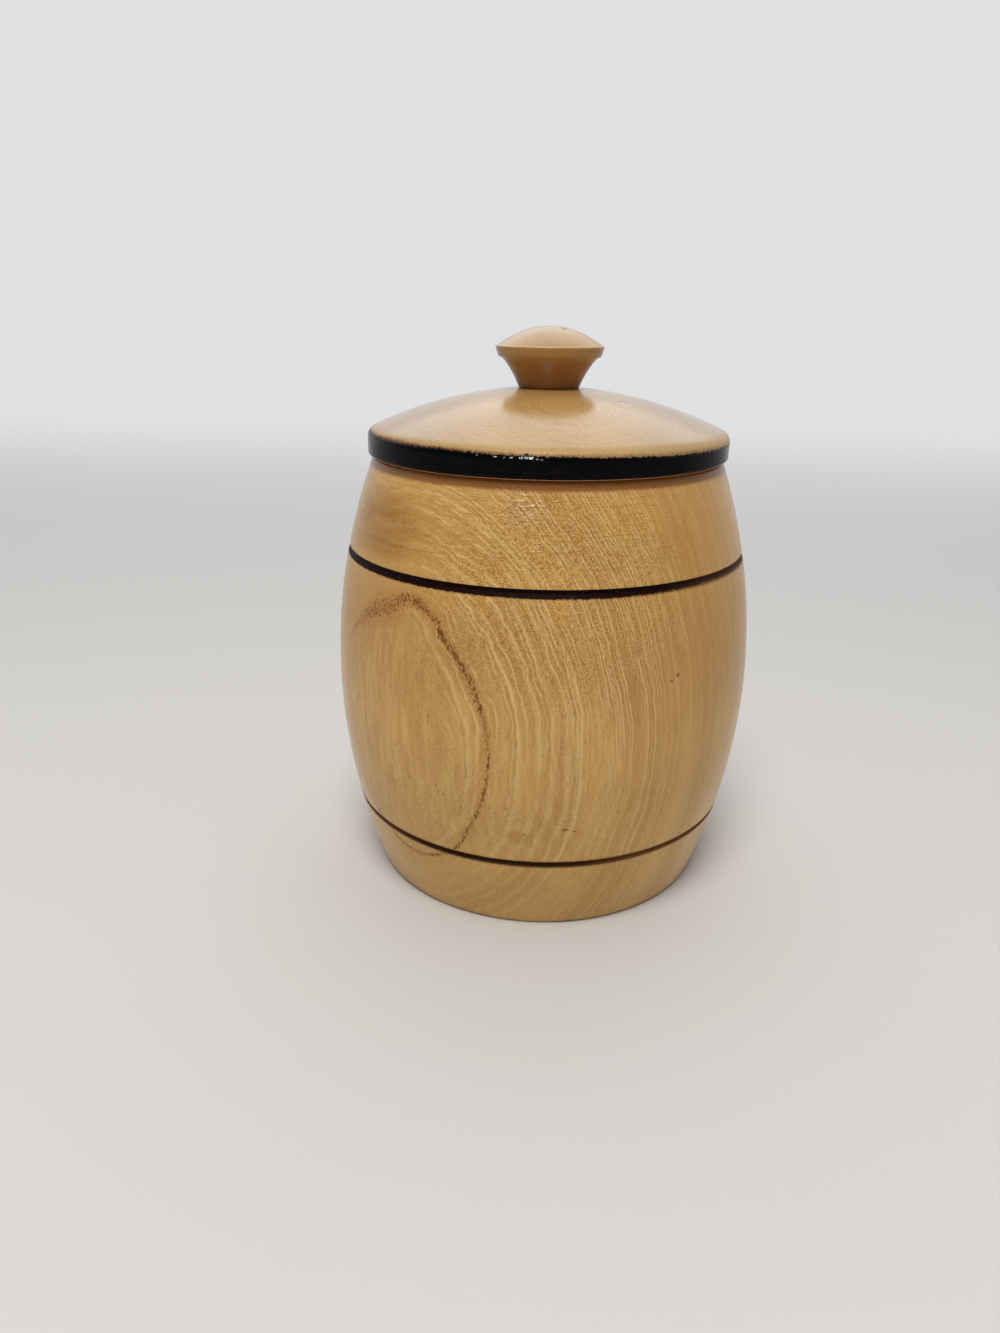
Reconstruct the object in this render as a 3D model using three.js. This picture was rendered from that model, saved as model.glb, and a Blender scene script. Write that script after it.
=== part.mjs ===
// A small turned wooden spice jar: a barrel-shaped body, a domed lid that drops into its mouth
// and a mushroom knob glued into the lid. Millimetres, +Z up, origin at the middle of the base.

import * as THREE from 'three';

// Barrel
const bellyRadius = 33;
const baseRadius = 27;
const rimRadius = 26.6;
const bellyHeight = 33.5; // base to belly
const shoulderHeight = 33.5; // belly to rim
const baseRounding = 0.6; // edge of the base
const rimBevel = 0.4; // outer edge of the rim
const rimWidth = 4.6; // outer edge of the rim to the bore
const mouthBevel = 0.6; // inner edge of the rim
const floorThickness = 8;
const floorCorner = 2; // rounding between the floor and the bore

// Burnt lines, V cuts round the barrel
const upperLineDrop = 14; // below the rim
const upperLineWidth = 1.15;
const lowerLineHeight = 12.55; // above the base
const lowerLineWidth = 0.8;
const burntLineDepth = 0.35;

// Lid
const lidOverhang = 0.8; // past the rim
const lidEdgeHeight = 2.7; // the upright painted edge
const lidEdgeBevel = 0.35; // lower corner of that edge
const lidShoulderRise = 1.5; // the rounded corner above that edge
const lidShoulderWidth = 1.3;
const lidCrownRise = 5.45; // shoulder to the knob's seat
const lidCrownBulge = 0.85; // how far the crown swells past a straight cone
const knobSeatMargin = 0.75; // flat seat showing round the knob's neck
const spigotLength = 6;
const spigotClearance = 0.5; // on the radius, in the bore
const spigotBevel = 0.8;

// Knob
const knobNeckRadius = 4.55;
const knobNeckRise = 2.8; // seat to where the neck turns into the flare
const knobNeckDraft = 1.1; // how much the neck widens up to there
const knobFlareRise = 4.45; // seat to the underside of the knob's edge
const knobRadius = 8.2;
const knobEdgeHeight = 1.55;
const knobEdgeDraft = 0.5; // how much the edge draws in downwards
const knobEdgeLip = 0.4; // step between the flare and the edge
const knobLedge = 0.2; // narrow flat round the dome
const knobDomeRise = 2.85;
const knobShoulder = 1.55; // seat of the neck round the tenon
const tenonLength = 7;
const tenonBevel = 0.5;
const glueGap = 0.15; // all round the tenon

// Lacquered wood
const barrelFinish = { color: 0xb98f54, roughness: 0.35, metalness: 0 };
const lidFinish = { color: 0xc9a470, roughness: 0.3, metalness: 0 };
const knobFinish = { color: 0xc09660, roughness: 0.35, metalness: 0 };

// Facets
const sideStep = 4; // longest facet up the barrel's side
const curveSteps = 8; // facets along every other curve
const turnSteps = 64; // facets round each turned piece

const rimHeight = bellyHeight + shoulderHeight;
const boreRadius = rimRadius - rimWidth;
const lidRadius = rimRadius + lidOverhang;
const lidHeight = lidEdgeHeight + lidShoulderRise + lidCrownRise;
const tenonRadius = knobNeckRadius - knobShoulder;

// Outer radius of the barrel at a height: two parabolas that meet, upright, at the belly.
function sideRadius(height) {
  const above = height > bellyHeight;
  const rise = above ? shoulderHeight : bellyHeight;
  const endRadius = above ? rimRadius : baseRadius;
  return bellyRadius - (bellyRadius - endRadius) * ((height - bellyHeight) / rise) ** 2;
}

// Carries an outline up the barrel's side to a height.
function climbSide(outline, height) {
  const start = outline.currentPoint.y;
  const steps = Math.ceil((height - start) / sideStep);
  for (let step = 1; step <= steps; step += 1) {
    const z = start + (height - start) * step / steps;
    outline.lineTo(sideRadius(z), z);
  }
}

// Carries an outline up the side to a burnt line and across its V cut.
function cutBurntLine(outline, height, width) {
  const top = height + width / 2;
  climbSide(outline, height - width / 2);
  outline.lineTo(sideRadius(height) - burntLineDepth, height);
  outline.lineTo(sideRadius(top), top);
}

// Outlines hold radius and height. Each runs from the axis, round the piece and back to the axis.

function barrelOutline() {
  const outline = new THREE.Path();
  outline.moveTo(0, 0);
  outline.lineTo(baseRadius - baseRounding, 0);
  outline.quadraticCurveTo(baseRadius, 0, sideRadius(baseRounding), baseRounding);
  cutBurntLine(outline, lowerLineHeight, lowerLineWidth);
  climbSide(outline, bellyHeight);
  cutBurntLine(outline, rimHeight - upperLineDrop, upperLineWidth);
  climbSide(outline, rimHeight - rimBevel);
  outline.lineTo(rimRadius - rimBevel, rimHeight);
  outline.lineTo(boreRadius + mouthBevel, rimHeight);
  outline.lineTo(boreRadius, rimHeight - mouthBevel);
  outline.lineTo(boreRadius, floorThickness + floorCorner);
  outline.quadraticCurveTo(boreRadius, floorThickness, boreRadius - floorCorner, floorThickness);
  outline.lineTo(0, floorThickness);
  return outline;
}

// Height 0 is the underside that rests on the barrel's rim.
function lidOutline() {
  const spigotRadius = boreRadius - spigotClearance;
  const holeRadius = tenonRadius + glueGap;
  const holeFloor = lidHeight - tenonLength - glueGap;

  // The crown swells on both sides of its middle, and the shoulder runs into it without a corner.
  const crownFoot = new THREE.Vector2(lidRadius - lidShoulderWidth, lidEdgeHeight + lidShoulderRise);
  const crownTop = new THREE.Vector2(knobNeckRadius + knobSeatMargin, lidHeight);
  const along = crownTop.clone().sub(crownFoot).normalize();
  const outward = new THREE.Vector2(along.y, -along.x);
  const crownMiddle = crownFoot.clone().lerp(crownTop, 0.5);
  const crownPull = crownMiddle.addScaledVector(outward, 2 * lidCrownBulge);
  const footSlope = (crownPull.y - crownFoot.y) / (crownPull.x - crownFoot.x);
  const shoulderPull = crownFoot.y + footSlope * lidShoulderWidth;

  const outline = new THREE.Path();
  outline.moveTo(0, -spigotLength);
  outline.lineTo(spigotRadius - spigotBevel, -spigotLength);
  outline.lineTo(spigotRadius, spigotBevel - spigotLength);
  outline.lineTo(spigotRadius, 0);
  outline.lineTo(lidRadius - lidEdgeBevel, 0);
  outline.lineTo(lidRadius, lidEdgeBevel);
  outline.lineTo(lidRadius, lidEdgeHeight);
  outline.quadraticCurveTo(lidRadius, shoulderPull, crownFoot.x, crownFoot.y);
  outline.quadraticCurveTo(crownPull.x, crownPull.y, crownTop.x, crownTop.y);
  outline.lineTo(holeRadius, lidHeight);
  outline.lineTo(holeRadius, holeFloor);
  outline.lineTo(0, holeFloor);
  return outline;
}

// Height 0 is the neck's shoulder, which sits on the lid's flat seat.
function knobOutline() {
  const flareRadius = knobRadius - knobEdgeDraft - knobEdgeLip;
  const edgeTop = knobFlareRise + knobEdgeHeight;
  const domeRadius = knobRadius - knobLedge;

  const outline = new THREE.Path();
  outline.moveTo(0, -tenonLength);
  outline.lineTo(tenonRadius - tenonBevel, -tenonLength);
  outline.lineTo(tenonRadius, tenonBevel - tenonLength);
  outline.lineTo(tenonRadius, 0);
  outline.lineTo(knobNeckRadius, 0);
  const neckTop = knobNeckRadius + knobNeckDraft;
  outline.quadraticCurveTo(neckTop, knobNeckRise, flareRadius, knobFlareRise);
  outline.lineTo(knobRadius - knobEdgeDraft, knobFlareRise);
  outline.lineTo(knobRadius, edgeTop);
  outline.lineTo(domeRadius, edgeTop);
  outline.quadraticCurveTo(domeRadius / 2, edgeTop + knobDomeRise, 0, edgeTop + knobDomeRise);
  return outline;
}

// Turns an outline about +Z.
function turned(name, outline, finish) {
  const geometry = new THREE.LatheGeometry(outline.getPoints(curveSteps), turnSteps);
  geometry.rotateX(Math.PI / 2);
  const mesh = new THREE.Mesh(geometry, new THREE.MeshStandardMaterial(finish));
  mesh.name = name;
  return mesh;
}

const barrel = turned('barrel_body', barrelOutline(), barrelFinish);
const lid = turned('lid', lidOutline(), lidFinish);
const knob = turned('lid_knob', knobOutline(), knobFinish);

knob.position.z = lidHeight;
lid.position.z = rimHeight;
lid.add(knob);

const jar = new THREE.Group();
jar.add(barrel, lid);

export default jar;
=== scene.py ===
import math

import bpy
import numpy as np
from mathutils import Matrix, Vector, noise


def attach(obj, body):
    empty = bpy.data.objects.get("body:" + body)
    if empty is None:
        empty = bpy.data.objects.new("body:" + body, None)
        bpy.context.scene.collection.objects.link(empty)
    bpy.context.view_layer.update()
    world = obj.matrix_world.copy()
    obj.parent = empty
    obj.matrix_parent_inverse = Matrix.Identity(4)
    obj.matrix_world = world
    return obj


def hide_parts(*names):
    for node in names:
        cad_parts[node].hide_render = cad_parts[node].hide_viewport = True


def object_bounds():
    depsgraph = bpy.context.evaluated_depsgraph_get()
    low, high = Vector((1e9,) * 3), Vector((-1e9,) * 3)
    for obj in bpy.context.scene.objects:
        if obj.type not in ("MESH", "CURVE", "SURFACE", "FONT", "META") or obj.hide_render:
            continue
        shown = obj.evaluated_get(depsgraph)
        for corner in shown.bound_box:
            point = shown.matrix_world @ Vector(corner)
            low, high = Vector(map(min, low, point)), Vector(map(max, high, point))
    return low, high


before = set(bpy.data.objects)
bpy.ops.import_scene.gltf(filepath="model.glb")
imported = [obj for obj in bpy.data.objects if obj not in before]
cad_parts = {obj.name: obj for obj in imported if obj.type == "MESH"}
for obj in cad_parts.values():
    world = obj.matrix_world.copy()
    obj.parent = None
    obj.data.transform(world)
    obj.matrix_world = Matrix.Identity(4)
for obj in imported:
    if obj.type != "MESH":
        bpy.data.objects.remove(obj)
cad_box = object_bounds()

# A small turned wooden spice jar. Sizes are in millimetres here and in metres in Blender.

MM = 0.001

# Camera, in the photograph's frame
IMAGE_WIDTH = 1000
IMAGE_HEIGHT = 1333
FOCAL_PIXELS = 945.1
SENSOR = 36
CAMERA_PLACE = (0, -148.8, 86.6)
CAMERA_PITCH = 20.30  # degrees down
CAMERA_YAW = -2.63  # degrees, positive to the right
CAMERA_ROLL = 0.73  # degrees
CLIP_START = 5

# Studio
FLOOR_HALF_WIDTH = 2500
FLOOR_NEAR = -1500
FLOOR_FAR = 900
BACKDROP_BEND = 250
BEND_STEPS = 16
BACKDROP_TOP = 560
FLOOR_COLOUR = (0.62, 0.61, 0.595, 1)
PAPER_ROUGHNESS = 0.9
PAPER_SPECULAR = 0.1
PALE_COLOUR = (0.74, 0.75, 0.765, 1)  # the background as the camera sees it
PALE_BEHIND = (20, 700)  # Y over which the floor passes into that background
PALE_AROUND = (200, 900)  # and the distance over which it does so on every side
SKY_BRIGHT = (0.68, 0.69, 0.71, 1)
SKY_DIM = (0.10, 0.10, 0.102, 1)
SOFTBOX = (1.42, 1.44, 1.47, 1)  # in the middle of the bright sky
SKY_TOWARD = (0, 0.8, 0.6)  # where the sky is brightest, behind and above the jar
SKY_RISE = (-0.6, 0.9)  # cosines of the angle to there, where the sky is dimmest and brightest
SOFTBOX_EDGE = (0.78, 0.94)  # and across the soft edge of its bright middle
KEY_AZIMUTH = -7  # degrees, negative to the left of the camera
KEY_ELEVATION = 63
KEY_DISTANCE = 700
KEY_SIZE = 300
KEY_SHARE = 0.70  # of a white surface's brightness, facing the lamp
KEY_COLOUR = (1, 0.97, 0.92)

# Meshes
TURN_SIDES = 288
CORNER_ANGLE = 20  # degrees; a sharper bend of an outline is a corner
CORNER_ROUNDING = 0.12
KNOB_ROUNDING = 0.35
CORNER_SHARE = 0.45  # of a short stretch, at most
ROUND_STEPS = 4
BARREL_STEP = 0.7
LID_STEP = 0.4
KNOB_STEP = 0.22
SAME = 0.01
TREMOR = 0.05  # how far a hand-turned surface strays inward
TREMOR_SIZE = 14
DENT_STEEP = 2.5  # how soon a dent reaches its depth

# Wood: a size with three values is along X, Y and Z
LINE_SPACING = 0.30  # between the pale lines along its rings
BROAD_SPACING = 0.85  # between the broad soft ones
LINE_KINK = 0.40  # how far those lines stray
KINK_SIZE = (2.2, 2.2, 3.2)
LINE_BREAK = (1.5, 1.5, 7)  # stretches in which they show or fade
RING_DRIFT = 0.9  # how far the growth rings stray
DRIFT_SIZE = 13
STREAK_WIDTH = 1.5
ZONE_WIDTH = 4  # of paler and deeper wood along the rings
FIBRE = (0.22, 0.22, 3.5)
CLOUD = 9
PORE = (0.24, 0.24, 0.9)
PORE_PATCH = 8
WAVE = 3  # of the lacquered surface
RAW_TOOL_MARK = (14, 14, 0.45)
LACQUER_IOR = 1.7
VEIL_ROUGHNESS = 0.20
VEIL_TINT = (1, 0.92, 0.86, 1)

# Wood and finish colours, and colours of painted shade and painted light
HONEY = (0.63, 0.368, 0.112, 1)
HONEY_DEEP = (0.47, 0.238, 0.058, 1)
HONEY_PALE = (0.72, 0.47, 0.170, 1)
SHADED_HONEY = (0.34, 0.155, 0.022, 1)
PALE_LINE = (0.80, 0.55, 0.235, 1)
DOT_BROWN = (0.30, 0.145, 0.030, 1)
PORE_BROWN = (0.17, 0.07, 0.016, 1)
RING_BROWN = (0.17, 0.055, 0.006, 1)
HALO_BROWN = (0.45, 0.19, 0.035, 1)
SCORCH = (0.20, 0.070, 0.014, 1)
CHAR = (0.010, 0.0022, 0.0012, 1)
CHAR_BROWN = (0.045, 0.016, 0.004, 1)
CHAR_LIGHT = (0.13, 0.05, 0.013, 1)
# Painted shade: bare wood in a cut, darkened because its lower flank faces the light
SHADED_BARE_CUT = (0.20, 0.105, 0.036, 1)
STAIN_BROWN = (0.40, 0.185, 0.028, 1)
ASH = (0.11, 0.095, 0.085, 1)
BLACK_PAINT = (0.0022, 0.0016, 0.0020, 1)
# Painted sheen: the pale veil the lacquer would reflect on the lid's shoulder
PAINTED_SHEEN_PALE = (0.58, 0.43, 0.24, 1)
BLEED_BROWN = (0.13, 0.036, 0.006, 1)
# Painted shade under the knob's cap, on its neck and lightly on its edge band
KNOB_SHADE_BROWN = (0.21, 0.040, 0.008, 1)
# Bare wood at the lid's lower edge, painted lighter as if catching light
LIT_BARE_EDGE = (0.66, 0.33, 0.19, 1)
# Painted shade: a dark band on the barrel just under the lid's overhang
UNDER_LID_SHADE = (0.21, 0.070, 0.015, 1)


def walk_meridian(node):
    """Outline of a turned CAD node as radius and height, from the axis below round to the axis above."""
    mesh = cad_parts[node].data
    spots = {}
    for vertex in mesh.vertices:
        x, y, z = vertex.co / MM
        if abs(x) < SAME and y < SAME:
            spots[vertex.index] = (round(abs(y), 3), round(z, 3))
    beside = {}
    for edge in mesh.edges:
        a, b = (spots.get(index) for index in edge.vertices)
        if a and b and a != b:
            beside.setdefault(a, set()).add(b)
            beside.setdefault(b, set()).add(a)
    ends = sorted((spot for spot in beside if len(beside[spot]) == 1), key=lambda spot: spot[1])
    outline = [ends[0]]
    while outline[-1] != ends[-1]:
        ahead = beside[outline[-1]] - set(outline[-2:])
        outline.append(ahead.pop())
    return np.array(outline)


def find_cuts(outline):
    """Height and half width of each V cut in an outline."""
    cuts = []
    for before, here, after in zip(outline, outline[1:], outline[2:]):
        inward = here[0] < before[0] and here[0] < after[0]
        if inward and before[1] < here[1] < after[1]:
            cuts.append((float(here[1]), float(after[1] - before[1]) / 2))
    return cuts


barrel_outline = walk_meridian("barrel_body")
lid_outline = walk_meridian("lid")
knob_outline = walk_meridian("lid_knob")

lower_cut, upper_cut = find_cuts(barrel_outline)
rim_height = float(barrel_outline[:, 1].max())
rim_radius = float(barrel_outline[barrel_outline[:, 1] > rim_height - SAME, 0].max())
lid_radius = float(lid_outline[:, 0].max())
knob_radius = float(knob_outline[:, 0].max())
lid_edge_top = float(lid_outline[lid_outline[:, 0] > lid_radius - SAME, 1].max())
knob_seat = float(lid_outline[:, 1].max())
knob_edge_top = float(knob_outline[knob_outline[:, 0] > knob_radius - SAME, 1].max())
knob_neck_radius = float(knob_outline[np.abs(knob_outline[:, 1] - knob_seat) < SAME, 0].max())


def bend_at(outline, index):
    """Angle in degrees by which an outline turns at a point."""
    before = outline[index] - outline[index - 1]
    after = outline[index + 1] - outline[index]
    turn = math.atan2(after[1], after[0]) - math.atan2(before[1], before[0])
    return abs(math.degrees((turn + math.pi) % (2 * math.pi) - math.pi))


def smooth_run(points, step, trim_start, trim_end):
    """A stretch without corners as a smooth curve with points about a step apart, less its trimmed ends."""
    lengths = np.linalg.norm(np.diff(points, axis=0), axis=1)
    along = np.concatenate([[0], np.cumsum(lengths)])
    straight = np.diff(points, axis=0) / lengths[:, None]
    slopes = np.vstack([straight[:1], points[2:] - points[:-2], straight[-1:]])
    slopes /= np.linalg.norm(slopes, axis=1)[:, None]
    if len(points) > 2:
        slopes[0] = 2 * straight[0] - slopes[1]
        slopes[-1] = 2 * straight[-1] - slopes[-2]
    first, last = trim_start, along[-1] - trim_end
    count = max(1, math.ceil((last - first) / step))
    guards = [first + trim_start, last - trim_end]
    even = np.linspace(first, last, count + 1)
    places = np.unique(np.concatenate([even, np.clip(guards, first, last)]))
    part = np.clip(np.searchsorted(along, places, side="right") - 1, 0, len(lengths) - 1)
    span = lengths[part][:, None]
    t = ((places - along[part]) / lengths[part])[:, None]
    return (
        (1 + 2 * t) * (1 - t) ** 2 * points[part]
        + t * (1 - t) ** 2 * span * slopes[part]
        + t**2 * (3 - 2 * t) * points[part + 1]
        + t**2 * (t - 1) * span * slopes[part + 1]
    )


def refine_outline(outline, step, rounding):
    """The outline with its round stretches smooth and its corners slightly rounded."""
    last = len(outline) - 1
    inner = [i for i in range(1, last) if bend_at(outline, i) > CORNER_ANGLE]
    stops = [0] + inner + [last]
    refined = []
    for start, end in zip(stops, stops[1:]):
        points = outline[start : end + 1]
        length = np.linalg.norm(np.diff(points, axis=0), axis=1).sum()
        trim = min(rounding, CORNER_SHARE * length)
        run = smooth_run(points, step, trim if start else 0, trim if end < last else 0)
        if refined:
            corner = outline[start]
            before = refined[-1]
            for t in (k / ROUND_STEPS for k in range(1, ROUND_STEPS)):
                refined.append((1 - t) ** 2 * before + 2 * t * (1 - t) * corner + t**2 * run[0])
        refined.extend(run)
    return refined


def tremor(place):
    """How far a hand-turned surface strays inward at a place."""
    return TREMOR * 0.5 * (1 + noise.noise(place / TREMOR_SIZE))


def dented(place, dents):
    """A place pushed in by the dents near it."""
    for spot, halves, push in dents:
        away = Vector([a / half for a, half in zip(place - Vector(spot), halves)])
        place = place + Vector(push) * min(1, DENT_STEEP * max(0, 1 - away.length))
    return place


def add_object(name, data):
    """A new object in the scene."""
    made = bpy.data.objects.new(name, data)
    bpy.context.scene.collection.objects.link(made)
    return made


def turned_mesh(name, outline, finish_at, materials, dents):
    """A mesh turned from an outline, with a finish for each stretch of it."""
    vertices = []
    rings = []
    for radius, height in outline:
        if radius < SAME:
            rings.append([len(vertices)] * TURN_SIDES)
            vertices.append(Vector((0, 0, height)) * MM)
            continue
        rings.append(range(len(vertices), len(vertices) + TURN_SIDES))
        for side in range(TURN_SIDES):
            angle = 2 * math.pi * side / TURN_SIDES
            outward = Vector((math.cos(angle), math.sin(angle), 0))
            place = outward * radius + Vector((0, 0, height))
            place -= outward * tremor(place)
            vertices.append(dented(place, dents) * MM)
    faces = []
    finishes = []
    for index, (low, high) in enumerate(zip(rings, rings[1:])):
        radius, height = (outline[index] + outline[index + 1]) / 2
        climbs = outline[index + 1][1] > outline[index][1]
        finish = finish_at(radius, height, climbs)
        for side in range(TURN_SIDES):
            after = (side + 1) % TURN_SIDES
            corners = (low[side], low[after], high[after], high[side])
            faces.append(tuple(dict.fromkeys(corners)))
            finishes.append(finish)
    mesh = bpy.data.meshes.new(name)
    mesh.from_pydata(vertices, [], faces)
    for material in materials:
        mesh.materials.append(material)
    mesh.polygons.foreach_set("material_index", finishes)
    mesh.polygons.foreach_set("use_smooth", [True] * len(faces))
    return mesh


def turn_piece(
    name, node, body, outline, step, finish_at, materials, dents=(), rounding=CORNER_ROUNDING
):
    """Adds a turned piece that stands for a CAD node and rides on a body."""
    refined = refine_outline(outline, step, rounding)
    piece = add_object(name, turned_mesh(name, refined, finish_at, materials, dents))
    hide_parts(node)
    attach(piece, body)


class Nodes:
    """Adds nodes to a tree. Apart from node and feed, each call returns an output socket."""

    def __init__(self, tree):
        self.tree = tree

    def node(self, kind, settings=None, **inputs):
        """A new node with settings and inputs."""
        made = self.tree.nodes.new(kind)
        for name, value in (settings or {}).items():
            setattr(made, name, value)
        for name, value in inputs.items():
            self.feed(made.inputs[name], value)
        return made

    def feed(self, socket, value):
        """Links an input to another node's output, or sets it."""
        if isinstance(value, bpy.types.NodeSocket):
            self.tree.links.new(value, socket)
        else:
            socket.default_value = value

    def math(self, operation, *values):
        made = self.node("ShaderNodeMath", {"operation": operation})
        for socket, value in zip(made.inputs, values):
            self.feed(socket, value)
        return made.outputs[0]

    def times(self, *values):
        """The product of two or more numbers."""
        total = values[0]
        for value in values[1:]:
            total = self.math("MULTIPLY", total, value)
        return total

    def add(self, value, amount, total):
        """A total with so much of a value added."""
        return self.math("MULTIPLY_ADD", value, amount, total)

    def vector(self, operation, *values):
        made = self.node("ShaderNodeVectorMath", {"operation": operation})
        for socket, value in zip(made.inputs, values):
            self.feed(socket, value)
        return made.outputs["Value" if operation in ("LENGTH", "DOT_PRODUCT") else "Vector"]

    def dim(self, colour, factor):
        """A colour times a number."""
        made = self.node("ShaderNodeVectorMath", {"operation": "SCALE"}, Scale=factor)
        self.feed(made.inputs[0], colour)
        return made.outputs["Vector"]

    def step(self, value, low, high):
        """0 below low and 1 above high, smooth between, or the other way round where low is the larger."""
        made = self.node("ShaderNodeMapRange", {"interpolation_type": "SMOOTHSTEP"}, Value=value)
        made.inputs["From Min"].default_value = low
        made.inputs["From Max"].default_value = high
        return made.outputs["Result"]

    def band(self, value, low, high, soft):
        """1 between low and high, with soft ends."""
        return self.times(
            self.step(value, low - soft, low + soft), self.step(value, high + soft, high - soft)
        )

    def mix(self, factor, first, second):
        made = self.node("ShaderNodeMix", {"data_type": "RGBA"})
        for index, value in ((0, factor), (6, first), (7, second)):
            self.feed(made.inputs[index], value)
        return made.outputs[2]

    def tint(self, colour, other, part, amount):
        """A colour mixed with so much of another over a part."""
        return self.mix(self.times(part, amount), colour, other)

    def rest(self, part):
        """1 less a part."""
        return self.math("SUBTRACT", 1, part)


class Shader(Nodes):
    """The nodes of one material, with places and heights in mm."""

    def __init__(self, name):
        self.material = bpy.data.materials.new(name)
        self.material.use_nodes = True
        super().__init__(self.material.node_tree)
        self.skin = self.tree.nodes["Principled BSDF"]
        metres = self.node("ShaderNodeTexCoord").outputs["Object"]
        self.place = self.vector("MULTIPLY", metres, (1 / MM,) * 3)
        split = self.node("ShaderNodeSeparateXYZ", Vector=self.place)
        self.x, self.y, self.z = split.outputs

    def turned(self, degrees):
        """Places turned about +Z by an angle."""
        made = self.node("ShaderNodeVectorRotate", {"rotation_type": "Z_AXIS"}, Vector=self.place)
        made.inputs["Angle"].default_value = math.radians(degrees)
        return made.outputs["Vector"]

    def noise(self, size, seed=0, detail=2, roughness=0.5, place=None):
        """Noise with features of a size, a number or one for each axis."""
        sizes = size if isinstance(size, tuple) else (size,) * 3
        spread = tuple(1 / side for side in sizes)
        place = self.vector("MULTIPLY_ADD", place or self.place, spread, (seed,) * 3)
        made = self.node("ShaderNodeTexNoise", None, Vector=place, Scale=1, Detail=detail)
        made.inputs["Roughness"].default_value = roughness
        return made.outputs["Fac"]

    def wobble(self, size, seed=0, detail=2, roughness=0.5):
        """Noise about 0."""
        return self.math("SUBTRACT", self.noise(size, seed, detail, roughness), 0.5)

    def noise_along(self, value, size, seed=0, detail=2):
        """Noise of one number."""
        spread = self.add(value, 1 / size, seed)
        settings = {"noise_dimensions": "1D"}
        made = self.node("ShaderNodeTexNoise", settings, W=spread, Scale=1, Detail=detail)
        return made.outputs["Fac"]

    def lines_along(self, value, size, seed=0):
        """Irregular lines at about a spacing: distance to the nearest, and a random number for each."""
        spread = self.add(value, 1 / size, seed)
        made = self.node("ShaderNodeTexVoronoi", {"voronoi_dimensions": "1D"}, W=spread, Scale=1)
        made.inputs["Randomness"].default_value = 0.8
        pick = self.node("ShaderNodeSeparateColor", None, Color=made.outputs["Color"])
        return made.outputs["Distance"], pick.outputs[0]

    def near(self, spot, size):
        """1 at a spot, falling to 0 at the ends of an ellipsoid of half sizes about it."""
        halves = size if isinstance(size, tuple) else (size,) * 3
        away = self.vector("SUBTRACT", self.place, spot)
        scaled = self.vector("MULTIPLY", away, tuple(1 / half for half in halves))
        return self.step(self.vector("LENGTH", scaled), 1, 0.3)

    def swing(self, value, amount):
        """Noise about a half turned into a factor about 1."""
        return self.add(value, 2 * amount, 1 - amount)

    def dress(self, looks):
        """Sets or links inputs of the surface by their names."""
        for name, value in looks.items():
            self.feed(self.skin.inputs[name], value)

    def finish(self, colour, roughness, height, specular):
        """The finished material, with a relief of a height."""
        bump = self.node("ShaderNodeBump", None, Height=height, Distance=MM).outputs["Normal"]
        self.dress({"Base Color": colour, "Roughness": roughness, "Specular IOR Level": specular})
        self.dress({"Normal": bump, "Coat Normal": bump})
        return self.material

    def coat(self, weight, roughness):
        """A clear lacquer over the finish."""
        self.dress({"Coat Weight": weight, "Coat Roughness": roughness, "Coat IOR": LACQUER_IOR})

    def veil(self, weight):
        """A thin pale bloom that shows where the surface turns away."""
        self.dress({"Sheen Weight": weight, "Sheen Roughness": VEIL_ROUGHNESS, "Sheen Tint": VEIL_TINT})


def ring_distance(shader, pith, lean, level):
    """Distance from the tree's pith, a line that leans by so much a mm and passes a point at a height."""
    rise = shader.math("SUBTRACT", shader.z, level)
    across = shader.math("SUBTRACT", shader.x, shader.add(rise, lean[0], pith[0]))
    away = shader.math("SUBTRACT", shader.y, shader.add(rise, lean[1], pith[1]))
    flat = shader.node("ShaderNodeCombineXYZ", None, X=across, Y=away)
    return shader.vector("LENGTH", flat.outputs[0])


def beyond(start, lengths):
    """Places so far beyond a start, or before it where a length is negative."""
    return [start + length for length in lengths]


def drift(shader, rings, seed):
    """Rings that stray slowly, as a tree grows."""
    return shader.add(shader.wobble(DRIFT_SIZE, seed, 1), RING_DRIFT, rings)


def pale_lines(shader, rings, seed, spacing=LINE_SPACING):
    """Thin pale lines along the growth rings, each of its own strength and broken along its length."""
    kinked = shader.add(shader.wobble(KINK_SIZE, seed, 1), LINE_KINK, rings)
    gap, pick = shader.lines_along(kinked, spacing, seed)
    broken = shader.step(shader.noise(LINE_BREAK, seed + 3), 0.26, 0.58)
    strength = shader.add(pick, 0.78, 0.12)
    return shader.times(shader.step(gap, 0.25, 0.05), strength, broken)


def wood_ground(shader, rings, seed, contrast=1):
    """Honey-coloured wood under its lines and pores: soft streaks along the rings, fibres and mottling."""
    streaks = shader.noise_along(rings, STREAK_WIDTH, seed + 13, 1)
    zones = shader.step(shader.noise_along(rings, ZONE_WIDTH, seed), 0.36, 0.66)
    fibres = shader.noise(FIBRE, seed + 5, 3)
    colour = shader.mix(shader.times(zones, 0.4 * contrast), HONEY, HONEY_DEEP)
    colour = shader.dim(colour, shader.swing(streaks, 0.1 * contrast))
    colour = shader.dim(colour, shader.swing(shader.noise(CLOUD, seed + 11), 0.13))
    return shader.dim(colour, shader.swing(fibres, 0.16))


def sand(shader, colour, size, seed, amount, lightness=0.50, place=None):
    """Fine dark and light dots of open grain, as strong as an amount from 0 to 1."""
    grain = shader.noise(size, seed, 2, 0.6, place)
    dark = shader.times(shader.step(grain, 0.5, 0.36), amount)
    light = shader.times(shader.step(grain, 0.52, 0.66), amount)
    colour = shader.tint(colour, DOT_BROWN, dark, 0.85)
    return shader.tint(colour, PALE_LINE, light, lightness), dark


def pore_dashes(shader, seed):
    """Short dark pores along the trunk, in patches."""
    dashes = shader.step(shader.noise(PORE, seed + 2, 1), 0.64, 0.74)
    patches = shader.step(shader.noise(PORE_PATCH, seed + 9), 0.36, 0.62)
    return shader.times(dashes, shader.add(patches, 0.75, 0.25))


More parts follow.
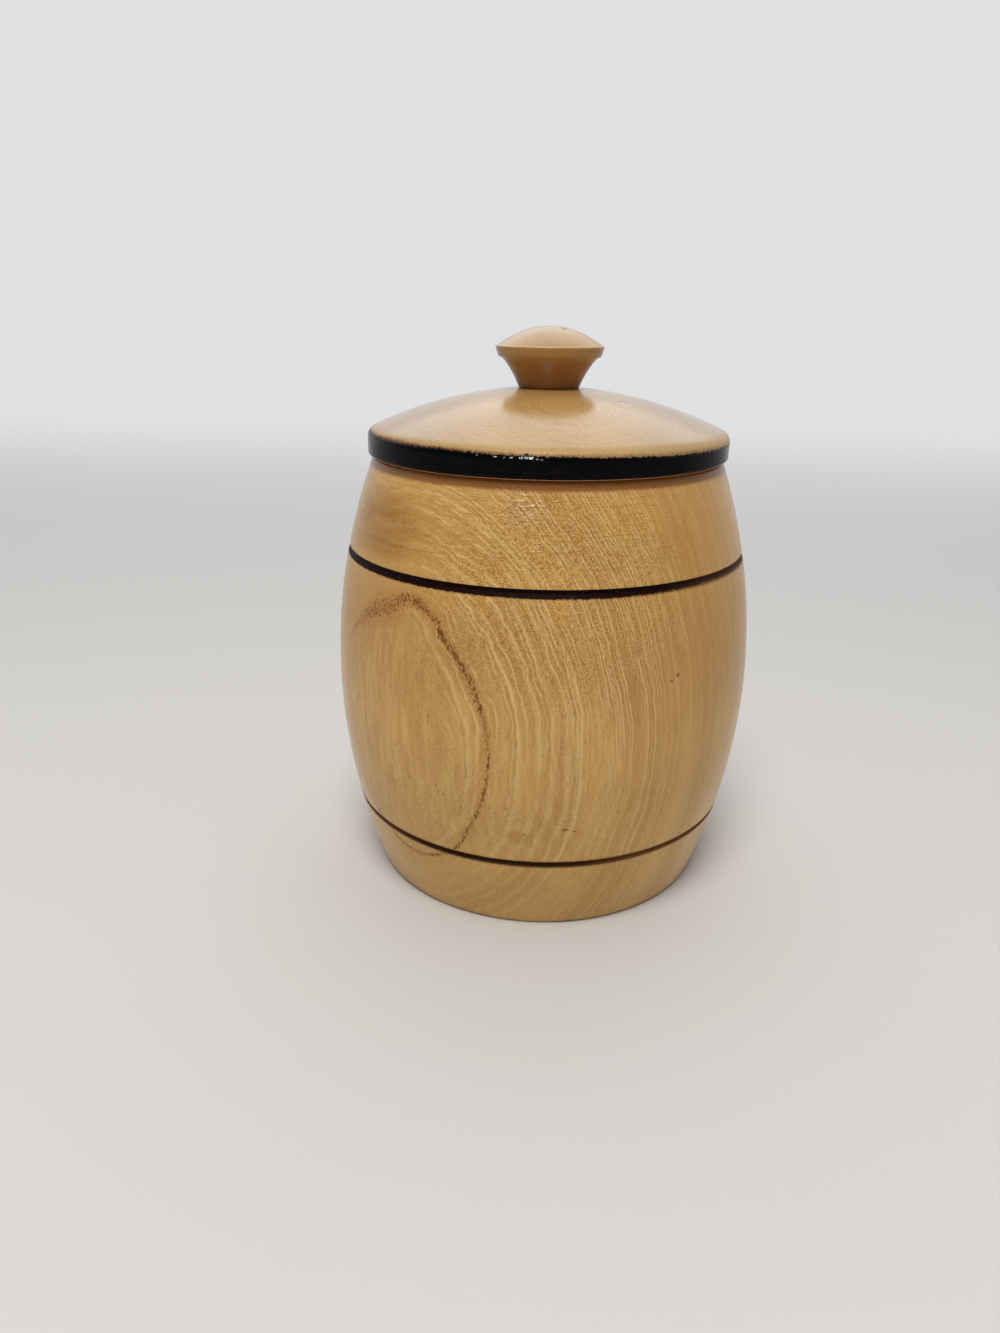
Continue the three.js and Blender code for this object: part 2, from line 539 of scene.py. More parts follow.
# Barrel. A pair with an axis beside it is where a change along that axis starts and ends
BARREL_PITH = (25.92, 32.17)  # of its tree
BARREL_LEAN = (-0.0094, -0.0355)
BARREL_LEVEL = 33.5
FRONT = (4, -12)  # Y
UPPER_WOOD = (16, 40)  # Z
UPPER_BAND = (1, 4)  # above the upper cut
DEEP_RINGS = (61.3, 66, 0.9)  # rings of deeper colour, and how soft their ends are
DEEP_RINGS_ABOVE = (26, 42)  # Z
DEEP_RIGHT = (4, 18)  # X of the deeper wood at the right
DEEP_RIGHT_ABOVE = (14, 44)  # Z of it
DEEP_MIDDLE = (38, 54, 7)  # Z, and how soft its ends are
DEEP_TOP = (52, 58)  # Z
# Painted shade at the upper left, streaked along the grain
SHADE_BAND_SPOT = (-22.6, -17, 59)
SHADE_BAND_HALF = (11, 19, 6.5)
SHADE_STREAK = (14, 14, 1.1)
MOTTLED = (14, 38, 5)  # Z, and how soft its ends are
MOTTLED_LEFT = (16, 4)  # X
MOTTLE = (1, 1, 7)
PLAIN_SPOT = (-20, -24, 30)  # plain wood, where the side runs along the rings
PLAIN_HALF = (17, 17, 26)
SPECKLED_SPOT = (2, -29, 52)  # open grain
SPECKLED_HALF = (27, 15, 24)
GRAIN_PATCH = 7
GRAIN_DOT = (0.23, 0.23, 0.21)
LINES_RIGHT = (10, 24)  # X over which the pale lines fade at the right
LINES_LEFT = (-13, -27)  # and at the left
THIN_LINES_LEFT = (-9, -24)  # and the thin ones at the left
LINES_LOW = (15, 10)  # Z over which they weaken downwards

# Its ring of brown specks
BROWN_RING = 72.34  # from the pith
BROWN_RING_HALF = 0.18
RING_CORE_HALF = 0.02  # of its densest specks
RING_OUTER_HALF = 0.25  # of its last specks
HALO_CORE_HALF = 0.03
HALO_HALF = 0.27
RING_KINKS = (  # places where the rings bend, how far about them, and by how much
    ((-24.8, -20.2, 46.2), 7, -0.155),
    ((-20, -24.2, 49.5), 5, -0.125),
    ((-16, -27, 50.1), 7.5, 0.405),
    ((-14.6, -28.3, 47.5), 5, -0.18),
    ((-10, -31, 41.4), 7, -0.04),
    ((-15.5, -26, 10.8), 12, 0.25),
)
RING_END = (-30.2, -24.2)  # X over which it fades in from the left
RING_NARROWS = (42, 28)  # Z over which it narrows downwards
RING_BREAKS = (46, 36)  # Z over which it breaks into dashes
RING_STRAY = 0.14  # how far its specks stray
RING_STRAY_SIZE = (1, 1, 1.6)
RING_SPECK = (0.25, 0.25, 0.45)
RING_PATCH = 6
RING_GAP = (1.6, 1.6, 2.6)
FUZZY_SPOT = (-22.5, -22, 48)  # where it is fuzzy and wide
FUZZY_HALF = 9

# Marks of use and of the turning tool on the barrel
SPECKS = (
    ((18.80, -26.74, 40.92), 0.42),
    ((17.96, -27.38, 40.26), 0.28),
    ((4.07, -31.61, 18.95), (0.75, 0.5, 0.22)),
    ((5.40, -31.40, 18.60), (0.35, 0.5, 0.18)),
    ((-1.75, -31.60, 17.95), (0.34, 0.5, 0.15)),
    ((-2.75, -31.55, 18.05), (0.26, 0.5, 0.13)),
)
STAIN_SPOT = (-2.6, -31.5, 17.4)
STAIN_HALF = (2.4, 1.5, 1.7)
SCRATCHED_SPOT = (0, -31.9, 20.6)
SCRATCHED_HALF = (11, 4, 4)
FINE_SCRATCH = (1.7, 1.7, 0.13)
PALE_SCRATCH_SPOT = (-1.2, -29.4, 58.34)
PALE_SCRATCH_HALF = (1.4, 1, 0.16)
PALE_SCRATCH_GRAIN = 0.3
SCORE = (4, 4, 0.20)
SCORES_RIGHT = (22, 10)  # X over which the score lines fade in from the right
TOOL_MARK = (18, 18, 0.28)
GLINT_SPOT = (-3.2, -27.5, 63)
GLINT_HALF = (4.2, 3, 3.2)
GLINT_DASH = (0.9, 0.9, 0.5)
GLINT_RIDGE = (9, 9, 0.30)
GLOSS_PATCH = 6

# Burnt lines, and the painted shade under the lid
CHAR_RAGGED = (0.35, 0.35, 0.30)
CHAR_MOTTLE = 0.6
CHAR_GRAIN = 0.22
ASH_SPECK = (0.22, 0.22, 0.16)
SCORCH_REACH = 0.30  # past a cut
CHAR_REACH = (0.08, 0.01)  # where char past a cut ends and where it is full
LOWER_SPILL = 0.28  # how much further the lower line is burnt
LIGHT_RIGHT = (2, 20)  # X over which the lower line turns lighter at the right
LIGHT_LEFT = (-14, -30)  # and at the left
UPPER_LIGHT_RIGHT = (14, 28)  # and the upper line at the right
UPPER_CHARRED = (24, 4)  # X over which char past the upper cut fades in from the right
CUT_THINS = (4, 27)  # X over which the char in the upper cut thins towards the right
CUT_MARGIN = 1  # between a cut and the wood that counts as away from it
CUT_BARE = (-0.12, 0.16)  # from char to bare wood along its lower border
# Painted shade under the lid fades in over these heights below the rim
UNDER_LID_SHADE_TOP = (-1.65, -1.10)  # from the rim


def barrel_rings(shader):
    """Distance from the barrel's pith, with the bends of its rings."""
    rings = ring_distance(shader, BARREL_PITH, BARREL_LEAN, BARREL_LEVEL)
    for spot, half, push in RING_KINKS:
        rings = shader.add(shader.near(spot, half), push, rings)
    return rings


def shade_bands(shader, colour):
    """Painted shade in streaks at the upper left."""
    streaks = shader.step(shader.noise(SHADE_STREAK, 29, 3), 0.3, 0.6)
    # Painted shade, streaked
    dark = shader.times(shader.near(SHADE_BAND_SPOT, SHADE_BAND_HALF), shader.add(streaks, 0.45, 0.55))
    return shader.tint(colour, SHADED_HONEY, dark, 0.92)


def mottled(shader, colour, plain):
    """Pale and deep mottling of the plain wood and, less, of the lower left."""
    mottle = shader.noise(MOTTLE, 23, 3, 0.6)
    lower = shader.times(shader.band(shader.z, *MOTTLED), shader.step(shader.x, *MOTTLED_LEFT))
    lower = shader.math("MAXIMUM", plain, shader.times(lower, 0.7))
    pale = shader.times(lower, shader.step(mottle, 0.46, 0.66), 0.5)
    deep = shader.times(lower, shader.step(mottle, 0.5, 0.34), 0.35)
    return shader.mix(deep, shader.mix(pale, colour, HONEY_PALE), HONEY_DEEP)


def barrel_ground(shader, rings, plain):
    """The barrel's wood before its lines: deeper above and at the right, with painted shade in bands at the
    upper left.
    """
    deep = shader.times(shader.band(rings, *DEEP_RINGS), shader.step(shader.z, *DEEP_RINGS_ABOVE))
    right = shader.times(shader.step(shader.x, *DEEP_RIGHT), shader.step(shader.z, *DEEP_RIGHT_ABOVE))
    middle = shader.band(shader.z, *DEEP_MIDDLE)
    top = shader.step(shader.z, *DEEP_TOP)
    colour = wood_ground(shader, rings, 0)
    for part, amount in ((deep, 0.45), (right, 0.62), (middle, 0.66), (top, 0.32)):
        colour = shader.tint(colour, HONEY_DEEP, part, amount)
    return mottled(shader, shade_bands(shader, colour), plain)


def brown_ring(shader, colour, rings):
    """The ring of brown specks along the grain, wider and looser at its upper left and dashed below."""
    fuzzy = shader.near(FUZZY_SPOT, FUZZY_HALF)
    strayed = shader.add(shader.wobble(RING_STRAY_SIZE, 35, 2), RING_STRAY, rings)
    off_ring = shader.math("ABSOLUTE", shader.math("SUBTRACT", strayed, BROWN_RING))
    narrowed = shader.add(shader.step(shader.z, *RING_NARROWS), 0.9, 1)
    off_ring = shader.times(off_ring, shader.add(fuzzy, -0.58, 1), narrowed)
    ends = shader.step(shader.x, *RING_END)
    lower = shader.step(shader.z, *RING_BREAKS)
    halo = shader.times(shader.step(off_ring, HALO_HALF, HALO_CORE_HALF), ends)
    colour = shader.tint(colour, HALO_BROWN, halo, shader.add(lower, -0.18, 0.46))
    loose = shader.times(fuzzy, 0.03)
    sparse = shader.add(shader.step(off_ring, RING_CORE_HALF, BROWN_RING_HALF), 0.17, loose)
    specks = shader.math("SUBTRACT", shader.noise(RING_SPECK, 31, 2), sparse)
    inside = shader.step(off_ring, RING_OUTER_HALF, BROWN_RING_HALF)
    specks = shader.times(shader.step(specks, 0.43, 0.49), inside)
    patches = shader.step(shader.noise(RING_PATCH, 37), 0.28, 0.55)
    strength = shader.times(shader.add(patches, 0.4, 0.55), shader.add(fuzzy, -0.2, 1), ends)
    gaps = shader.step(shader.noise(RING_GAP, 36, 1), 0.54, 0.42)
    strength = shader.times(strength, shader.add(shader.times(lower, gaps), -0.55, 1))
    return shader.tint(colour, RING_BROWN, specks, strength)


def barrel_marks(shader, colour):
    """Specks, a small stain, thin scratches round it and a pale one above."""
    for spot, half in SPECKS:
        colour = shader.tint(colour, RING_BROWN, shader.near(spot, half), 0.85)
    colour = shader.tint(colour, STAIN_BROWN, shader.near(STAIN_SPOT, STAIN_HALF), 0.42)
    fine = shader.step(shader.noise(FINE_SCRATCH, 39, 2), 0.56, 0.66)
    fine = shader.times(fine, shader.near(SCRATCHED_SPOT, SCRATCHED_HALF))
    colour = shader.tint(colour, PORE_BROWN, fine, 0.4)
    broken = shader.step(shader.noise(PALE_SCRATCH_GRAIN, 47), 0.42, 0.56)
    scratch = shader.times(shader.near(PALE_SCRATCH_SPOT, PALE_SCRATCH_HALF), broken)
    return shader.mix(scratch, colour, PALE_LINE)


def ragged_char(shader):
    """Noise about 0 that makes the borders of the burnt lines and of the painted shade under the lid
    ragged.
    """
    return shader.wobble(CHAR_RAGGED, 43, 3)


def burnt_border(shader, colour, cut, ragged, spill, char, shown):
    """Wood scorched beside a burnt line, and charred along its borders where that is shown."""
    height, half = cut
    below = shader.math("SUBTRACT", height, shader.z)
    off_line = shader.add(ragged, 0.4, shader.math("MAXIMUM", shader.times(below, -1.25), below))
    scorched = shader.step(off_line, half + SCORCH_REACH + spill, half)
    colour = shader.tint(colour, SCORCH, scorched, 0.6)
    charred = shader.step(off_line, half + CHAR_REACH[0] + spill, half + CHAR_REACH[1])
    return shader.mix(shader.times(charred, shown), colour, char)


def scorch_and_under_lid_shade(shader, colour):
    """Painted shade in a band under the lid's overhang, and scorched borders of the burnt lines."""
    ragged = ragged_char(shader)
    # Painted shade under the lid's overhang, full next to the rim
    under_lid_shade = shader.step(shader.add(ragged, 0.25, shader.z), *beyond(rim_height, UNDER_LID_SHADE_TOP))
    colour = shader.tint(colour, UNDER_LID_SHADE, under_lid_shade, 0.85)
    brown = shader.mix(shader.step(shader.x, *LIGHT_RIGHT), CHAR_BROWN, CHAR_LIGHT)
    colour = burnt_border(shader, colour, lower_cut, ragged, LOWER_SPILL, brown, 1)
    shown = shader.step(shader.x, *UPPER_CHARRED)
    return burnt_border(shader, colour, upper_cut, ragged, 0, CHAR, shown)


def barrel_lines(shader, colour, rings, plain, upper_band):
    """Open grain, and pale lines that are faint below and at the right and missing in the plain wood."""
    front = shader.step(shader.y, *FRONT)
    upper = shader.step(shader.z, *UPPER_WOOD)
    right = shader.times(shader.step(shader.x, *LINES_RIGHT), shader.add(upper, -0.2, 0.85))
    faint = shader.times(shader.math("MAXIMUM", right, shader.step(shader.x, *LINES_LEFT)), front)
    shown = shader.times(shader.add(plain, -0.95, 1), shader.rest(faint))
    broad = shader.times(pale_lines(shader, rings, 5, BROAD_SPACING), shown)
    strength = shader.add(upper_band, -0.14, shader.add(upper, -0.15, 0.7))
    strength = shader.times(strength, shader.add(shader.step(shader.z, *LINES_LOW), -0.5, 1))
    colour = shader.tint(colour, PALE_LINE, broad, strength)

    patches = shader.times(shader.step(shader.noise(GRAIN_PATCH, 17), 0.4, 0.68), 0.35)
    open_grain = shader.math("MAXIMUM", shader.near(SPECKLED_SPOT, SPECKLED_HALF), patches)
    open_grain = shader.times(open_grain, shader.add(broad, -0.6, 1), shader.add(upper_band, 0.25, 1))
    colour, dots = sand(shader, colour, GRAIN_DOT, 19, open_grain)

    left = shader.times(shader.step(shader.x, *THIN_LINES_LEFT), front)
    shown = shader.times(shown, shader.rest(left), shader.add(upper, 0.7, 0.3))
    lines = shader.times(pale_lines(shader, rings, 0), shown)
    return shader.mix(lines, colour, PALE_LINE), lines, dots


def score_lines(shader, colour, upper_band):
    """Thin lines scored by the turning tool in the upper band."""
    scores = shader.step(shader.noise(SCORE, 41, 2), 0.5, 0.66)
    scores = shader.times(scores, upper_band, shader.step(shader.x, *SCORES_RIGHT))
    return shader.tint(colour, SHADED_HONEY, scores, 0.4)


def barrel_material():
    """Lacquered wood with its grain, tool marks, marks of use and scorched borders, with painted shade
    under the lid and at the upper left.
    """
    shader = Shader("barrel_lacquered_wood")
    true_rings = barrel_rings(shader)
    rings = drift(shader, true_rings, 0)
    plain = shader.near(PLAIN_SPOT, PLAIN_HALF)
    upper_band = shader.step(shader.z, *beyond(upper_cut[0], UPPER_BAND))
    colour = barrel_ground(shader, rings, plain)
    colour, lines, dots = barrel_lines(shader, colour, rings, plain, upper_band)
    pores = pore_dashes(shader, 0)
    colour = shader.tint(colour, PORE_BROWN, pores, shader.add(plain, 0.35, 0.45))
    colour = score_lines(shader, colour, upper_band)
    colour = brown_ring(shader, colour, true_rings)
    colour = barrel_marks(shader, colour)
    colour = scorch_and_under_lid_shade(shader, colour)

    # Tool marks round the barrel, a glint on their ridges, open pores and raised lines
    turned = shader.noise(TOOL_MARK, 3, 3, 0.6)
    height = shader.times(turned, shader.add(upper_band, 0.014, 0.008))
    dashes = shader.step(shader.noise(GLINT_DASH, 49, 1), 0.46, 0.56)
    glints = shader.times(dashes, shader.near(GLINT_SPOT, GLINT_HALF))
    ridges = shader.times(shader.noise(GLINT_RIDGE, 45, 1), glints)
    waves = shader.noise(WAVE, 51)
    for part, rise in ((ridges, 0.24), (pores, -0.015), (dots, -0.01), (lines, 0.012), (waves, 0.02)):
        height = shader.add(part, rise, height)
    roughness = shader.add(shader.noise(GLOSS_PATCH, 61), 0.08, 0.2)
    shader.coat(shader.times(glints, 0.35), 0.18)
    shader.veil(0.06)
    return shader.finish(colour, roughness, height, specular=0.28)


def burnt_material():
    """Charred wood in the cut lines: ragged below, thinner at the right, and brown in the lower line; the
    bare wood below the upper line is painted darker as shade.
    """
    shader = Shader("burnt_wood")
    low = shader.step(shader.z, upper_cut[0] - CUT_MARGIN, lower_cut[0] + CUT_MARGIN)
    right = shader.step(shader.x, *CUT_THINS)
    left = shader.step(shader.x, *LIGHT_LEFT)
    ends = shader.math("MAXIMUM", shader.step(shader.x, *LIGHT_RIGHT), left)
    lighter = shader.times(shader.step(shader.x, *UPPER_LIGHT_RIGHT), 0.35)
    upper = shader.mix(lighter, CHAR, CHAR_LIGHT)
    colour = shader.mix(low, upper, shader.mix(ends, CHAR_BROWN, SCORCH))
    colour = shader.dim(colour, shader.swing(shader.noise(CHAR_MOTTLE, 53, 2), 0.5))
    # Bare wood on the upper cut's lower flank, painted darker as shade since it faces up
    below = shader.math("SUBTRACT", upper_cut[0], shader.z)
    reach = shader.add(right, -0.24, upper_cut[1] + 0.05)
    past = shader.math("SUBTRACT", shader.add(ragged_char(shader), 0.5, below), reach)
    bare = shader.times(shader.step(past, *CUT_BARE), shader.rest(low))
    colour = shader.mix(bare, colour, SHADED_BARE_CUT)
    specks = shader.step(shader.noise(ASH_SPECK, 55, 2), 0.64, 0.72)
    colour = shader.tint(colour, ASH, specks, 0.6)
    height = shader.times(shader.noise(CHAR_GRAIN, 57, 3), 0.06)
    return shader.finish(colour, 0.45, height, specular=0.03)


def raw_wood_material(name, pith, seed):
    """Bare turned wood, for the bore, the underside and the spigot."""
    shader = Shader(name)
    rings = drift(shader, ring_distance(shader, pith, BARREL_LEAN, BARREL_LEVEL), seed)
    colour = wood_ground(shader, rings, seed)
    colour = shader.tint(colour, PALE_LINE, pale_lines(shader, rings, seed), 0.5)
    pores = pore_dashes(shader, seed)
    colour = shader.tint(colour, PORE_BROWN, pores, 0.45)
    turned = shader.noise(RAW_TOOL_MARK, seed + 4, 3, 0.6)
    height = shader.times(turned, 0.04)
    height = shader.add(pores, -0.03, height)
    return shader.finish(colour, 0.62, height, specular=0.4)


# Wood across the trunk, in the lid and the knob
UPRIGHT = (0, 0)
END_GRAIN_TURN = 38  # degrees from +X towards the front
END_GRAIN_DOT = (0.9, 0.26, 0.4)
END_GRAIN_PATCH = 6

# Lid
LID_PITH = (3, -13)
LID_SEED = 71
LID_FRONT = (-8, -20)  # Y
LID_SIDES = (6, 20)  # X to either side
LID_BACK = (2, 12)  # Y
LID_RINGS_HALF = 12  # about the pith
LACQUER_FROM = (0.8, 1.8)  # above the upright edge

# Paint round the lid's edge, and its borders
PAINT_ABOVE_EDGE = 0.36
PAINT_TILT = 0.015  # mm a mm; the border stands higher at the left
PAINT_RAGGED = (0.45, 0.45, 0.5)
PAINT_WAVE = 9
PAINT_SOFT = 0.04  # each side of its upper border
PAINT_FOOT = (0.07, 0.13)  # above the rim, over a thin line of bare wood
PAINT_GRAIN = 0.5
BEAD = (0.05, -0.20)  # from the upper border
BLEED_REACH = 0.50  # above that border
STAINED_LEFT = (2, -18)  # X
SPATTER = 0.25
SPATTER_REACH = 0.9
# Heights of the bare lower edge that is painted lighter as if catching light
LIT_BARE_EDGE_STRIP = (0.6, 0.3)  # above the rim
FLECK = (0.20, 0.20, 0.15)
SMEAR = (2.5, 2.5, 0.9)
PAINT_DROPS = (  # place across, depth below the paint's upper border, half width, half height and gloss
    (-9, 0.24, 0.20, 0.18, 0.3),
    (-6.6, 0.28, 0.40, 0.16, 0.4),
    (-5.4, 0.32, 0.24, 0.15, 0.3),
    (-4.5, 0.30, 0.36, 0.18, 0.5),
    (-3.2, 0.22, 0.45, 0.26, 0.9),
    (-2.6, 0.06, 0.45, 0.44, 1),
    (-1.95, 0.20, 0.45, 0.30, 1),
    (-1.2, 0.34, 0.25, 0.15, 0.4),
    (-0.6, 0.40, 0.32, 0.14, 0.3),
)
DROP_SLOPE = 0.55  # how steeply the upper face of a drop leans back
paint_top = lid_edge_top + PAINT_ABOVE_EDGE

# An old chip in the lid, with painted shade along its far edge
CHIP_SPOT = (10.7, -9.6, 75.2)
CHIP_HALF = (1, 2.1, 2)
CHIP_PUSH = (0, 0, -0.05)
# The painted shade lies along the chip's edge, behind its middle
CHIP_EDGE = (0.80, 1.10, 0.10)  # shares of its half size
CHIP_FAR_SIDE = (0.8, 1.8)  # behind its middle


def end_grain(shader, pith, seed, tone, line_strength, openness):
    """Lacquered wood across the trunk: faint rings, and open grain as dots."""
    rings = drift(shader, ring_distance(shader, pith, UPRIGHT, rim_height), seed)
    colour = shader.dim(wood_ground(shader, rings, seed, 0.5), tone)
    lines = pale_lines(shader, rings, seed, BROAD_SPACING)
    colour = shader.tint(colour, PALE_LINE, lines, line_strength)
    patches = shader.step(shader.noise(END_GRAIN_PATCH, seed + 9), 0.34, 0.6)
    amount = shader.times(shader.add(patches, 0.5, 0.5), openness)
    place = shader.turned(END_GRAIN_TURN)
    return sand(shader, colour, END_GRAIN_DOT, seed + 2, amount, 0.12, place)


def paint_drops(shader):
    """Height, reach and gloss of the drops of thick paint, whose faces lean back and turn to the front."""
    height = reach = gloss = 0
    for x, depth, half_width, half_height, shine in PAINT_DROPS:
        z = paint_top - PAINT_TILT * x - depth
        spot = (x, -math.sqrt(lid_radius**2 - x**2), z)
        drop = shader.step(shader.near(spot, (half_width, 1, half_height)), 0, 0.45)
        across = shader.times(shader.math("SUBTRACT", shader.x, x), x / lid_radius)
        face = shader.add(shader.math("SUBTRACT", z, shader.z), DROP_SLOPE, across)
        height = shader.add(drop, face, height)
        reach = shader.math("MAXIMUM", reach, drop)
        gloss = shader.add(drop, shine, gloss)
    return height, reach, gloss


def lid_wood(shader, back):
    """Wood with faint rings, deeper at both sides and paler at the back, with an old chip and painted shade
    along its far edge.
    """
    front = shader.step(shader.y, *LID_FRONT)
    sides = shader.step(shader.math("ABSOLUTE", shader.x), *LID_SIDES)
    tone = shader.add(sides, -0.17, shader.add(back, 0.14, 0.72))
    inner = shader.near((*LID_PITH, knob_seat), LID_RINGS_HALF)
    rings_shown = shader.add(inner, 0.2, shader.add(back, 0.35, 0.08))
    openness = shader.add(front, 0.45, shader.add(back, 0.35, 0.15))
    colour, dots = end_grain(shader, LID_PITH, LID_SEED, tone, rings_shown, openness)
    away = shader.vector("SUBTRACT", shader.place, CHIP_SPOT)
    off_chip = shader.vector("LENGTH", shader.vector("DIVIDE", away, CHIP_HALF))
    colour = shader.tint(colour, PALE_LINE, shader.step(off_chip, 1, 0.6), 0.12)
    # Painted shade along the chip's far edge
    far_side = shader.step(shader.y, *beyond(CHIP_SPOT[1], CHIP_FAR_SIDE))
    far_edge_shade = shader.times(shader.band(off_chip, *CHIP_EDGE), far_side)
    return shader.tint(colour, CHAR_BROWN, far_edge_shade, 0.9), dots


def paint_borders(shader, colour, worn, ragged, level):
    """Painted sheen, pale where the lacquer is thin, a brown stain and spatters above the paint, and below
    it a thin line of bare wood painted lighter as if catching light.
    """
    # Painted sheen on the shoulder, where the lacquer is thin
    colour = shader.mix(worn, colour, PAINTED_SHEEN_PALE)
    stain = shader.add(shader.step(shader.x, *STAINED_LEFT), 0.5, 0.5)
    bleed = shader.times(shader.step(level, paint_top + BLEED_REACH, paint_top), stain)
    colour = shader.mix(bleed, colour, BLEED_BROWN)
    spatter = shader.step(shader.noise(SPATTER, 85), 0.54, 0.64)
    spatter = shader.times(spatter, shader.step(level, paint_top + SPATTER_REACH, paint_top))
    colour = shader.tint(colour, BLEED_BROWN, spatter, 0.7)
    # Bare wood below the paint, painted lighter as if catching light
    lit_bare_strip = shader.step(shader.add(ragged, 0.3, shader.z), *beyond(rim_height, LIT_BARE_EDGE_STRIP))
    return shader.mix(lit_bare_strip, colour, LIT_BARE_EDGE)


def lid_material():
    """Lacquered wood with black paint brushed round the edge, ragged along both its borders."""
    shader = Shader("lid_lacquered_wood")
    back = shader.step(shader.y, *LID_BACK)
    colour, dots = lid_wood(shader, back)
    lacquer = shader.step(shader.z, *beyond(lid_edge_top, LACQUER_FROM))
    ragged = shader.wobble(PAINT_RAGGED, 83, 4, 0.65)
    level = shader.add(ragged, 0.85, shader.add(shader.x, PAINT_TILT, shader.z))
    level = shader.add(shader.wobble(PAINT_WAVE, 87), 0.3, level)
    # The painted pale sheen goes where the lacquer is thin
    colour = paint_borders(shader, colour, shader.add(lacquer, -0.45, 0.45), ragged, level)
    drops, thick, shine = paint_drops(shader)
    paint = shader.step(level, paint_top + PAINT_SOFT, paint_top - PAINT_SOFT)
    foot = shader.step(shader.add(ragged, 0.16, shader.z), *beyond(rim_height, PAINT_FOOT))
    paint = shader.times(shader.math("MAXIMUM", paint, thick), foot)
    colour = shader.mix(paint, colour, BLACK_PAINT)

    # A bead of paint along the upper border with glossy drops, and lacquer worn thin beside it
    bead = shader.times(shader.step(level, *beyond(paint_top, BEAD)), 0.12)
    height = shader.add(shader.rest(thick), bead, drops)
    brushed = shader.times(shader.noise(PAINT_GRAIN, 93, 2), paint)
    for part, rise in ((shader.noise(WAVE, 91), 0.02), (dots, -0.008), (brushed, 0.035)):
        height = shader.add(part, rise, height)
    flecks = shader.step(shader.noise(FLECK, 97, 1), 0.45, 0.56)
    smears = shader.times(shader.step(shader.noise(SMEAR, 95, 3), 0.5, 0.72), paint, 0.05)
    gloss = shader.math("MAXIMUM", shader.times(shine, flecks), smears)
    lacquer = shader.times(shader.add(lacquer, 0.95, 0.05), shader.rest(paint))
    lacquer = shader.times(lacquer, shader.add(back, -0.4, 1))
    shader.coat(shader.math("MAXIMUM", lacquer, gloss), 0.2)
    roughness = shader.add(paint, -0.16, 0.3)
    return shader.finish(colour, roughness, height, specular=0.05)


# Knob, and a nick in its top
KNOB_PITH = (22, 14)
KNOB_SEED = 101
KNOB_BACK = (1, 6)  # Y
# The neck's painted shade fades in downwards over the first pair
KNOB_NECK = (-1, -2.6)  # from the top of its edge, as the next two
KNOB_BAND = (0.1, -0.2)
KNOB_WORN = (-0.15, 0.08)
KNOB_WORN_SOFT = 0.06
KNOB_WORN_GRAIN = 0.35
KNOB_TOOL_MARK = (6, 6, 0.25)
KNOB_GLOSS_PATCH = 3
KNOB_THINS = (1, 6)  # X over which its lacquer thins towards the right
NICK_SPOT = (2, -1.5, 85.2)
NICK_HALF = (0.40, 1.5, 0.8)
NICK_PUSH = (0, 0, -0.25)


def knob_material():
    """Lacquered wood with painted shade on the neck under the cap, an edge band lifted by painted light and
    tinted by that shade, a worn upper edge and a nick.
    """
    shader = Shader("knob_lacquered_wood")
    back = shader.step(shader.y, *KNOB_BACK)
    tone = shader.add(back, 0.16, 0.66)
    rings_shown = shader.add(back, 0.22, 0.08)
    colour, dots = end_grain(shader, KNOB_PITH, KNOB_SEED, tone, rings_shown, 0.22)
    # Painted shade on the neck under the cap
    neck_shade = shader.step(shader.z, *beyond(knob_edge_top, KNOB_NECK))
    band = shader.step(shader.z, *beyond(knob_edge_top, KNOB_BAND))
    # Painted light lifts the edge band, which faces down, then painted shade tints it brown
    colour = shader.dim(colour, shader.add(band, 0.22, 1))
    colour = shader.tint(colour, KNOB_SHADE_BROWN, band, 0.17)
    colour = shader.tint(colour, KNOB_SHADE_BROWN, neck_shade, 0.5)
    worn = shader.band(shader.z, *beyond(knob_edge_top, KNOB_WORN), KNOB_WORN_SOFT)
    worn = shader.times(worn, shader.step(shader.noise(KNOB_WORN_GRAIN, 105), 0.46, 0.6))
    colour = shader.tint(colour, HONEY, worn, 0.6)
    # Painted shade in the nick
    nick_shade = shader.near(NICK_SPOT, NICK_HALF)
    colour = shader.tint(colour, CHAR_BROWN, nick_shade, 0.9)
    height = shader.times(shader.noise(KNOB_TOOL_MARK, 103, 3, 0.6), 0.012)
    height = shader.add(dots, -0.008, height)
    thick = shader.add(shader.step(shader.x, *KNOB_THINS), -0.4, 0.85)
    thick = shader.times(thick, shader.add(band, -0.6, 1), shader.add(back, -0.4, 1))
    shader.coat(thick, 0.26)
    roughness = shader.add(shader.noise(KNOB_GLOSS_PATCH, 107), 0.1, 0.27)
    return shader.finish(colour, roughness, height, specular=0.2)


# Finishes, as places in a piece's list of materials
LACQUERED = 0
RAW = 1
BURNT = 2
SIDE_DEPTH = 1  # the barrel's side lies no further in than this from the rim's edge


def barrel_finish(radius, height, climbs):
    """The side is lacquered and its cuts burnt; the underside, the rim and the bore are bare."""
    if not climbs or radius < rim_radius - SIDE_DEPTH:
        return RAW
    burnt = any(abs(height - middle) < half for middle, half in (lower_cut, upper_cut))
    return BURNT if burnt else LACQUERED


def lid_finish(radius, height, climbs):
    """Bare on the underside, on the spigot and under the knob."""
    covered = height < rim_height + SAME or radius < knob_neck_radius
    return RAW if covered else LACQUERED


def knob_finish(radius, height, climbs):
    """Bare on the tenon."""
    return RAW if height < knob_seat - SAME else LACQUERED


